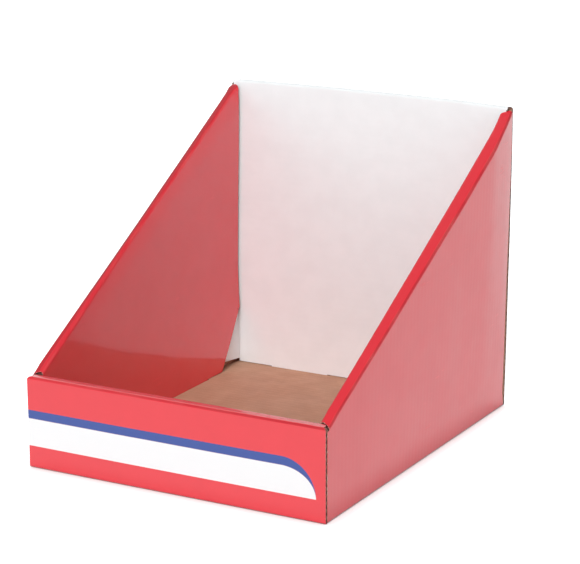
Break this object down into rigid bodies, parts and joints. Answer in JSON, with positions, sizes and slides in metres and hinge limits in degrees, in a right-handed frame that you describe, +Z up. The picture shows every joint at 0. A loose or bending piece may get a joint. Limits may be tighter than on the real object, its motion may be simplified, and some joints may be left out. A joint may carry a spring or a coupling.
{
  "type": "cardboard counter display tray",
  "caption": "Folded corrugated board counter display tray with a low front, sloping doubled side walls and a tall back.",
  "frame": {"origin": "centre of the footprint on the ground", "axes": "+Z up, +Y from the low front to the tall back, +X to the right seen from the front"},
  "size_m": [0.305, 0.371, 0.298],
  "materials": {
    "printed_board": "gloss varnished print outside, plain brown board inside"
  },
  "bodies": {
    "root": {"display_tray": "printed_board"}
  },
  "joints": []
}
